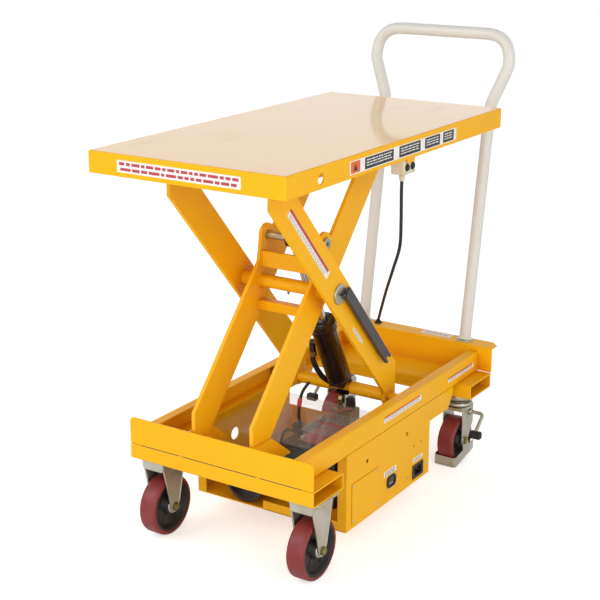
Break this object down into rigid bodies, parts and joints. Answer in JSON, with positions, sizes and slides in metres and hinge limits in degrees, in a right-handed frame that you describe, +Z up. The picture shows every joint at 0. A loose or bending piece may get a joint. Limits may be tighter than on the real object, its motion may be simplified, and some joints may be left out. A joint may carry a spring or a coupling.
{
  "type": "scissor lift table",
  "caption": "Mobile scissor lift table: flat platform on crossed arms with a hydraulic cylinder, battery power unit, wheeled base, swivel rear casters and push handle.",
  "frame": {"origin": "on the floor under the middle of the overall outline, 93 mm behind the middle of the platform", "axes": "+Z up; X across the cart, with the control box on the +X side; Y along the cart, with the push handle at +Y"},
  "size_m": [0.556, 1.1958, 1.1618],
  "materials": {
    "yellow_paint": "glossy powder coat",
    "cream_paint": "semi-gloss powder coat",
    "zinc_plate": "zinc plated pressed steel",
    "chrome": "hard chrome",
    "black_paint": "semi-gloss black enamel",
    "grey_paint": "satin dark grey powder coat",
    "black_plastic": "moulded black plastic",
    "polyurethane": "cast polyurethane, dark red",
    "cream_plastic": "moulded beige plastic",
    "valve_metal": "olive passivated steel",
    "clear_plastic": "clear folded plastic sheet"
  },
  "bodies": {
    "base": {"front_cross_tube": "yellow_paint", "rear_cross_tube": "yellow_paint", "front_bumper": "yellow_paint", "rear_wall": "yellow_paint", "side_rail_left": "yellow_paint", "side_rail_right": "yellow_paint", "base_hinge_left": "yellow_paint", "base_hinge_right": "yellow_paint", "power_tray": "yellow_paint", "service_cover": "yellow_paint", "battery_gauge": "black_plastic", "charge_socket": "black_plastic", "battery": "black_plastic", "pump_motor": "black_paint", "oil_tank": "cream_plastic", "valve_block": "valve_metal", "splash_cover": "clear_plastic", "push_handle": "cream_paint", "front_caster_fork_left": "zinc_plate", "front_caster_fork_right": "zinc_plate", "rear_swivel_plate_left": "zinc_plate", "rear_swivel_plate_right": "zinc_plate"},
    "inner_arms": {"inner_arm_left": "yellow_paint", "inner_arm_right": "yellow_paint", "inner_centre_tube": "yellow_paint", "inner_cross_plate": "yellow_paint", "inner_cross_bar": "yellow_paint", "rod_pin": "zinc_plate", "upper_cross_shaft": "yellow_paint"},
    "outer_arms": {"outer_arm_left": "yellow_paint", "outer_arm_right": "yellow_paint", "centre_shaft": "zinc_plate", "lower_cross_shaft": "yellow_paint"},
    "platform": {"deck": "yellow_paint", "deck_track_left": "yellow_paint", "deck_track_right": "yellow_paint", "deck_hinge_left": "yellow_paint", "deck_hinge_right": "yellow_paint", "control_box": "cream_plastic"},
    "rod": {"cylinder_rod": "chrome"},
    "barrel": {"cylinder_barrel": "black_paint"},
    "lock": {"lock_bar": "grey_paint"},
    "upper_wheel_left": {"upper_roller_left": "zinc_plate"},
    "upper_wheel_right": {"upper_roller_right": "zinc_plate"},
    "lower_wheel_left": {"lower_roller_left": "zinc_plate"},
    "lower_wheel_right": {"lower_roller_right": "zinc_plate"},
    "front_wheel_left": {"front_wheel_hub_left": "black_plastic", "front_wheel_tread_left": "polyurethane"},
    "front_wheel_right": {"front_wheel_hub_right": "black_plastic", "front_wheel_tread_right": "polyurethane"},
    "rear_caster_left": {"rear_caster_fork_left": "zinc_plate"},
    "rear_caster_right": {"rear_caster_fork_right": "zinc_plate"},
    "rear_wheel_left": {"rear_wheel_hub_left": "black_plastic", "rear_wheel_tread_left": "polyurethane"},
    "rear_wheel_right": {"rear_wheel_hub_right": "black_plastic", "rear_wheel_tread_right": "polyurethane"},
    "brake_left": {"brake_lever_left": "zinc_plate"},
    "brake_right": {"brake_lever_right": "zinc_plate"},
    "down_button": {"button_down": "black_plastic"},
    "up_button": {"button_up": "black_plastic"}
  },
  "joints": [
    {"name": "lift", "type": "hinge", "parent": "base", "child": "inner_arms", "pos_m": [0, -0.443, 0.2755], "axis": [-1, 0, 0], "range_deg": [0, 41]},
    {"name": "scissor", "type": "hinge", "parent": "inner_arms", "child": "outer_arms", "pos_m": [0, -0.193, 0.6125], "axis": [-1, 0, 0], "range_deg": [-82.5, 0]},
    {"name": "platform_hinge", "type": "hinge", "parent": "outer_arms", "child": "platform", "pos_m": [0, -0.443, 0.9495], "axis": [-1, 0, 0], "range_deg": [0, 41.5]},
    {"name": "rod_swing", "type": "hinge", "parent": "inner_arms", "child": "rod", "pos_m": [0, -0.168, 0.722], "axis": [1, 0, 0], "range_deg": [0, 78.5]},
    {"name": "cylinder_stroke", "type": "slide", "parent": "rod", "child": "barrel", "axis": [0, -0.45, 0.893], "range_m": [0, 0.145]},
    {"name": "lock_swing", "type": "hinge", "parent": "outer_arms", "child": "lock", "pos_m": [0.152, -0.1705, 0.6098], "axis": [-1, 0, 0], "range_deg": [0, 38]},
    {"name": "upper_roller_left_spin", "type": "hinge", "parent": "inner_arms", "child": "upper_wheel_left", "pos_m": [-0.166, 0.057, 0.9495], "axis": [1, 0, 0], "continuous": true},
    {"name": "upper_roller_right_spin", "type": "hinge", "parent": "inner_arms", "child": "upper_wheel_right", "pos_m": [0.166, 0.057, 0.9495], "axis": [1, 0, 0], "continuous": true},
    {"name": "lower_roller_left_spin", "type": "hinge", "parent": "outer_arms", "child": "lower_wheel_left", "pos_m": [-0.2005, 0.057, 0.2755], "axis": [1, 0, 0], "continuous": true},
    {"name": "lower_roller_right_spin", "type": "hinge", "parent": "outer_arms", "child": "lower_wheel_right", "pos_m": [0.2005, 0.057, 0.2755], "axis": [1, 0, 0], "continuous": true},
    {"name": "front_wheel_left_spin", "type": "hinge", "parent": "base", "child": "front_wheel_left", "pos_m": [-0.213, -0.426, 0.075], "axis": [1, 0, 0], "continuous": true},
    {"name": "front_wheel_right_spin", "type": "hinge", "parent": "base", "child": "front_wheel_right", "pos_m": [0.213, -0.426, 0.075], "axis": [1, 0, 0], "continuous": true},
    {"name": "rear_caster_left_swivel", "type": "hinge", "parent": "base", "child": "rear_caster_left", "pos_m": [-0.188, 0.373, 0.18], "axis": [0, 0, 1], "continuous": true},
    {"name": "rear_caster_right_swivel", "type": "hinge", "parent": "base", "child": "rear_caster_right", "pos_m": [0.188, 0.373, 0.18], "axis": [0, 0, 1], "continuous": true},
    {"name": "rear_wheel_left_spin", "type": "hinge", "parent": "rear_caster_left", "child": "rear_wheel_left", "pos_m": [-0.188, 0.353, 0.0635], "axis": [1, 0, 0], "continuous": true},
    {"name": "rear_wheel_right_spin", "type": "hinge", "parent": "rear_caster_right", "child": "rear_wheel_right", "pos_m": [0.188, 0.353, 0.0635], "axis": [1, 0, 0], "continuous": true},
    {"name": "brake_left_press", "type": "hinge", "parent": "rear_caster_left", "child": "brake_left", "pos_m": [-0.2225, 0.379, 0.141], "axis": [1, 0, 0], "range_deg": [0, 22]},
    {"name": "brake_right_press", "type": "hinge", "parent": "rear_caster_right", "child": "brake_right", "pos_m": [0.2225, 0.379, 0.141], "axis": [1, 0, 0], "range_deg": [0, 22]},
    {"name": "down_button_press", "type": "slide", "parent": "platform", "child": "down_button", "axis": [-1, 0, 0], "range_m": [0, 0.003]},
    {"name": "up_button_press", "type": "slide", "parent": "platform", "child": "up_button", "axis": [-1, 0, 0], "range_m": [0, 0.003]}
  ],
  "couplings": [
    {"joint": "scissor", "follows": "lift", "ratio": -2},
    {"joint": "platform_hinge", "follows": "lift", "ratio": 1},
    {"joint": "rod_swing", "follows": "lift", "ratio": 1.9053},
    {"joint": "cylinder_stroke", "follows": "lift", "m_per_rad": 0.20205}
  ]
}
